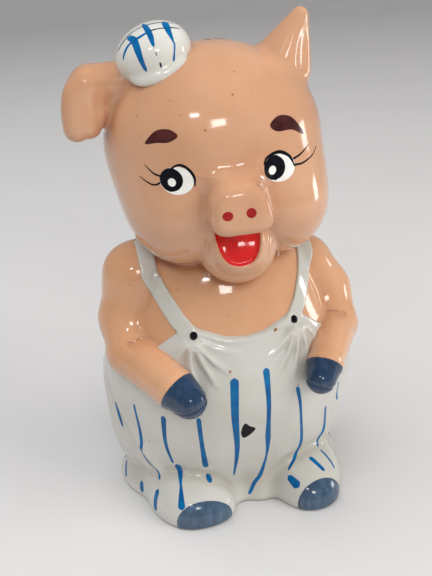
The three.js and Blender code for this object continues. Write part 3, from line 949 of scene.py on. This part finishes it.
FRONT_STRIPES = [
    ([(-78, -14.5, 73), (-76.5, -16, 64), (-75, -18, 55)], (1.4, 1.9, 0.9)),
    ([(-67.5, -32, 79.5), (-65.5, -29.5, 58.5), (-63, -26.5, 36), (-58, -34, 22)], (1.4, 1.8, 1.6, 1.8)),
    ([(-52, -45, 75.5), (-51.5, -40, 52.5), (-47.5, -37.5, 35)], (2.8, 2.0, 1.4)),
    ([(-46, -38.5, 34.5), (-45, -46, 23), (-47, -57, 13)], (4.0, 1.2, 4.4)),
    ([(-32, -54, 76), (-30.5, -50, 55), (-28, -44.5, 33)], (2.4, 2.2, 3.2)),
    ([(-27.5, -43.5, 27), (-25.5, -46.5, 22)], (2.6, 3.0)),
    ([(-9.5, -57, 101), (-10.5, -58.5, 76), (-9, -52, 47.5), (-10.5, -44.5, 23)], (4.4, 3.8, 2.6, 1.0)),
    ([(10, -56, 104), (10.5, -58.5, 77.5), (10.5, -55, 60), (10.5, -49, 40), (7.5, -44.5, 21), (2, -45, 13),
      (-2, -47.5, 6)],
     (3.6, 2.6, 2.2, 3.0, 1.2, 2.4, 1.8)),
    ([(29.5, -55, 87), (33, -50, 62.5), (35, -41.5, 37), (31, -42, 27), (25, -46, 20)],
     (2.4, 1.6, 1.8, 2.4, 1.2)),
    ([(24, -48.5, 18), (29, -57, 14)], (3.0, 5.2)),
    ([(53, -37.5, 58.5), (54.5, -30, 37), (49, -35, 26)], (1.8, 2.2, 1.2)),
    ([(64.5, -32, 71.5), (65, -26.5, 54)], (1.8, 1.2)),
    ([(40, -43, 25.5), (47.5, -52, 19)], (2.4, 2.2)),
    ([(49.5, -36.5, 25), (56.5, -46.5, 15)], (1.4, 1.6)),
    ([(-67.5, -16.5, 11), (-67, -20, 4)], (3.2, 3.8)),
    ([(-58.5, -37.5, 17.5), (-61, -41, 4)], (3.2, 3.8)),
    ([(-74.5, 10, 12), (-75.5, -2, 5)], (1.8, 2.0)),
]


def ring_point(angle, z):
    """A point on the trousers at that bearing and height."""
    a = math.radians(angle)
    return (math.sin(a) * 85, BODY_AXIS_Y - math.cos(a) * 85, z)


def inward(field, points):
    """Points slid towards the body's axis until they touch it."""
    p = np.array(points, float)
    for _ in range(60):
        to_axis = np.stack([-p[:, 0], BODY_AXIS_Y - p[:, 1], np.zeros(len(p))], 1)
        to_axis /= np.maximum(np.linalg.norm(to_axis, axis=1, keepdims=True), 1e-9)
        p = p + to_axis * (0.8 * field(p))[:, None]
    return p


BRUSH_SPREAD = 1.22     # widens every front stripe
strokes = [ribbon(trousers, pts, [BRUSH_SPREAD * v for v in w]) for pts, w in FRONT_STRIPES]
for k, angle in enumerate((-98, -116, -134, -151, -168, 175, 158, 141, 124, 107, 90)):
    lean = rng.uniform(-3, 3)
    tall = rng.uniform(78, 90)
    heights = (tall, 68, 46, 26, rng.uniform(6, 12))
    path = [ring_point(angle + lean * i / 4 + rng.uniform(-1, 1), z) for i, z in enumerate(heights)]
    strokes.append(ribbon(trousers, inward(trousers, path), rng.uniform(1.4, 3.2, 5)))
gathered("trouser_stripes", strokes, BLUE)

SPOT = [(-4.0, 0.9), (-3.2, 4.4), (-1.4, 6.6), (1.0, 3.9), (4.6, 1.2), (3.6, -1.6), (-0.4, -5.2),
        (-3.0, -5.6), (-4.2, -2.0)]
spot = closed_curve([(-2.6 + x, -56, 62.5 + z) for x, z in SPOT], 5)
gathered("belly_spot", [blob(trousers, (-2.6, -56, 62.5), spot, 0.3)], BLACK)


CHIP_MARKS = [
    (cloth, (18.5, -49.0, 124.5), 1.3), (cloth, (-11.5, -57, 105.5), 0.9), (cloth, (31, -57, 88), 0.7),
    (head_skin, from_head((4.5, -38, 45)), 0.7), (head_skin, from_head((-12.5, -46, 30)), 0.8),
    (head_skin, from_head((6, 9, 66)), 2.8), (head_skin, from_head((0.5, 6, 66.5)), 1.9),
    (head_skin, from_head((10.5, 8, 65.5)), 1.8),
]
chips = []
for field, at, size in CHIP_MARKS:
    seat = settle(field, np.array([at], float), rounds=6, reach=3.0)
    up = slope(field, seat)[0]
    up /= np.linalg.norm(up)
    across = np.cross(up, (0.3, 0.5, 0.81))
    across /= np.linalg.norm(across)
    ahead = np.cross(up, across)
    turns = np.linspace(0, 2 * math.pi, 10, endpoint=False)
    edge = [seat[0] + size * rng.uniform(0.65, 1.25) * (across * math.cos(t) + ahead * math.sin(t))
            for t in turns]
    chips.append(blob(field, seat[0], closed_curve(edge, 3), 0.08, 3))
gathered("worn_chips", chips, CLAY)


CAP_CHECKS = [
    ([(-49.5, -12.5, 65), (-47.5, -12.5, 70.5), (-44.5, -12.5, 73.5), (-39, -13.5, 76.5), (-34.5, -13, 78.5)],
     (1.0, 1.8, 1.4, 1.9, 1.3)),
    ([(-45.5, -7, 76.5), (-42.5, -13, 75), (-41.5, -18, 70.5), (-40, -20, 64.5), (-38, -20, 59)],
     (3.0, 4.2, 4.0, 2.8, 1.8)),
    ([(-36, -2.5, 81.5), (-34.5, -11.5, 79.5), (-33.5, -16, 76.5), (-33, -19, 73), (-32.5, -20, 71.5)],
     (1.2, 3.0, 3.4, 3.0, 1.4)),
    ([(-24.5, -4.5, 82), (-23.5, -13, 78.5), (-22, -17, 73.5), (-21.5, -17.5, 71.5),
      (-22, -19, 67.5), (-23, -20, 62.5)],
     (3.8, 4.2, 3.2, 1.2, 1.0, 1.5)),
]
CAP_FINE_LINES = [
    ([(-51.5, -5.5, 68.5), (-48.5, -6.5, 73), (-43.5, -6, 77.5), (-36, -6.5, 81), (-27.5, -6.5, 82),
      (-19, -4.5, 80.5)],
     (0.9, 1.1, 0.8, 1.0, 0.8, 0.5)),
    ([(-34.5, -13, 78.5), (-30.5, -12.5, 79.5), (-24, -11.5, 79.5), (-16.5, -7.5, 77.5)],
     (1.3, 0.8, 1.0, 0.6)),
    ([(-32, -20.5, 69.5), (-32, -21.5, 67)], (0.5, 0.5)),
    ([(-30.5, -21.5, 63.5), (-30, -21.5, 60.5)], (1.1, 1.0)),
]
for name, lines, mat in (("cap_checks", CAP_CHECKS, BLUE), ("cap_fine_lines", CAP_FINE_LINES, DARK_BLUE)):
    gathered(name, [ribbon(cap_whole, from_head(pts), w, height=0.2) for pts, w in lines], mat)


# ------------------------------------------------------------------ buttons and stopper
def lathe(name, profile, centre, axis_turn, mat, body, nodes, around_=48):
    """A turned piece: profile is radius and height from the bottom up."""
    prof = np.array(profile, float)
    a = np.linspace(0, 2 * math.pi, around_, endpoint=False)
    pts = [np.stack([r * np.cos(a), r * np.sin(a), np.full(around_, h)], 1) for r, h in prof]
    pts = np.concatenate(pts) @ axis_turn.T + centre
    faces = []
    for i in range(len(prof) - 1):
        for j in range(around_):
            k = (j + 1) % around_
            faces.append([i * around_ + j, i * around_ + k, (i + 1) * around_ + k, (i + 1) * around_ + j])
    faces.append(list(range(around_))[::-1])
    faces.append([(len(prof) - 1) * around_ + j for j in range(around_)])
    return finish_piece(body_mesh(name, pts, faces), mat, body, nodes)


BUTTON_SPOTS = {"right": (-30.2, -46, 127.0), "left": (32.8, -46, 127.6)}
for side, spot_at in BUTTON_SPOTS.items():
    seat = settle(cloth, np.array([spot_at], float), rounds=8, reach=3.0)
    up = slope(cloth, seat)[0]
    up /= np.linalg.norm(up)
    right = np.cross((0, 0, 1.0), up)
    right /= np.linalg.norm(right)
    spin = np.stack([right, np.cross(up, right), up], 1)
    dome = [(2.6, -1.0), (2.6, 0.1), (2.2, 0.7), (1.3, 1.1), (0.3, 1.2)]
    lathe(f"button_{side}_bead", dome, seat[0], spin, BLACK, "bank", [f"button_{side}"], 24)
axis = np.array([0, BODY_AXIS_Y, 0.0])
PLUG = [
    (6, 2.2), (8, 1.7), (20.6, 1.5), (21.8, 2.0), (22, 2.8), (21.7, 3.7), (21.0, 4.2), (17.4, 4.2),
    (16.75, 4.7), (16.7, 9.6), (16.2, 10.6), (15.8, 14.2), (15.0, 15.0),
    (9, 15.0), (8, 14.2), (7, 8.0), (1, 7.5),
]
lathe("stopper_plug", PLUG, axis, np.eye(3), RUBBER, "stopper", ["stopper"], 64)

# ------------------------------------------------------------------ stage, lights, camera
def stage_object(name, data):
    obj = bpy.data.objects.new(name, data)
    bpy.context.scene.collection.objects.link(obj)
    return obj


def room():
    """A pale round floor that sweeps up into a backdrop."""
    wide, curve, tall, sides = 3.4, 1.2, 3.2, 96
    profile = [(0.0, 0.0), (0.6, 0.0), (wide - curve, 0.0)]
    profile += [(wide - curve + curve * math.sin(t), curve - curve * math.cos(t))
                for t in np.linspace(0.1, math.pi / 2, 14)]
    profile += [(wide, tall)]
    verts = [(r * math.cos(t), r * math.sin(t), z) for r, z in profile[1:]
             for t in np.linspace(0, 2 * math.pi, sides, endpoint=False)] + [(0, 0, 0)]
    faces = [(i * sides + j, (i + 1) * sides + j,
              (i + 1) * sides + (j + 1) % sides, i * sides + (j + 1) % sides)
             for i in range(len(profile) - 2) for j in range(sides)]
    faces += [(len(verts) - 1, j, (j + 1) % sides) for j in range(sides)]
    mesh = bpy.data.meshes.new("floor")
    mesh.from_pydata(verts, [], faces)
    for poly in mesh.polygons:
        poly.use_smooth = True
    obj = stage_object("floor", mesh)
    mat = bpy.data.materials.new("floor_paper")
    mat.use_nodes = True
    nodes, links = mat.node_tree.nodes, mat.node_tree.links
    bsdf = nodes["Principled BSDF"]
    place = nodes.new("ShaderNodeTexCoord")
    grain = nodes.new("ShaderNodeTexNoise")
    grain.inputs["Scale"].default_value = 6.0
    links.new(place.outputs["Object"], grain.inputs["Vector"])
    tone = nodes.new("ShaderNodeMix")
    tone.data_type = "RGBA"
    tone.inputs[6].default_value = (0.66, 0.65, 0.64, 1)
    tone.inputs[7].default_value = (0.70, 0.69, 0.68, 1)
    links.new(grain.outputs["Fac"], tone.inputs["Factor"])
    links.new(tone.outputs[2], bsdf.inputs["Base Color"])
    bsdf.inputs["Roughness"].default_value = 0.75
    mesh.materials.append(mat)


def lamp(name, place, aim, size, watts, tall=None, tint=(1, 1, 1)):
    data = bpy.data.lights.new(name, "AREA")
    data.shape = "RECTANGLE"
    data.size = size
    data.size_y = tall or size
    data.energy = watts
    data.color = tint
    obj = stage_object(name, data)
    obj.location = place
    obj.rotation_mode = "QUATERNION"
    obj.rotation_quaternion = (Vector(aim) - Vector(place)).to_track_quat("-Z", "Y")
    return obj


room()
for soft in (
        lamp("right_soft", (1.45, -1.0, 1.25), (0, 0, 0.15), 1.5, 28, 1.7, (1.0, 0.98, 0.95)),
        lamp("front_soft", (0.35, -1.8, 0.75), (0, 0, 0.17), 1.0, 2.5, 1.0, (1.0, 0.99, 0.97)),
        lamp("top_soft", (-0.6, 0.0, 1.9), (0, 0, 0.12), 2.2, 34, None, (0.97, 0.98, 1.0))):
    soft.visible_glossy = False
lamp("front_lamp", (0.0, -1.68, 1.14), (0, 0, 0.25), 0.40, 3.6, 0.26, (1.0, 0.99, 0.97))
lamp("front_lamp_small", (-0.56, -1.2, 1.32), (0, 0, 0.25), 0.22, 1.5, 0.09, (1.0, 0.99, 0.97))
lamp("side_strip", (1.5, -0.05, 0.14), (0, 0, 0.2), 0.26, 2.2, 0.42, (0.98, 0.99, 1.0))
world = bpy.data.worlds.new("studio_air")
world.use_nodes = True
world.node_tree.nodes["Background"].inputs["Color"].default_value = (0.92, 0.94, 1.0, 1)
world.node_tree.nodes["Background"].inputs["Strength"].default_value = 0.16
bpy.context.scene.world = world

AZIMUTH, ELEVATION, ROLL, DISTANCE = -11.0, 24.5, -3.5, 0.567
LOOK_AT = (np.array([-6, 0, 134.0]) + SHIFT) * 0.001
a, e = math.radians(AZIMUTH), math.radians(ELEVATION)
back = np.array([math.sin(a) * math.cos(e), -math.cos(a) * math.cos(e), math.sin(e)])
side_way = np.cross(-back, (0, 0, 1.0))
side_way /= np.linalg.norm(side_way)
up_way = np.cross(side_way, -back)
r = math.radians(ROLL)
rolled = side_way * math.cos(r) + up_way * math.sin(r)
up_way = up_way * math.cos(r) - side_way * math.sin(r)
side_way = rolled
lens = bpy.data.cameras.new("camera")
lens.sensor_fit = "VERTICAL"
lens.sensor_height = 36.0
lens.sensor_width = 36.0
lens.lens = 900.0 / 576.0 * 36.0
lens.clip_start, lens.clip_end = 0.02, 50.0
camera = bpy.data.objects.new("camera", lens)
bpy.context.scene.collection.objects.link(camera)
stand = LOOK_AT + back * DISTANCE
rows = [[side_way[i], up_way[i], back[i], stand[i]] for i in range(3)]
camera.matrix_world = Matrix(rows + [[0, 0, 0, 1]])
bpy.context.scene.camera = camera
bpy.context.scene.view_settings.view_transform = "Standard"
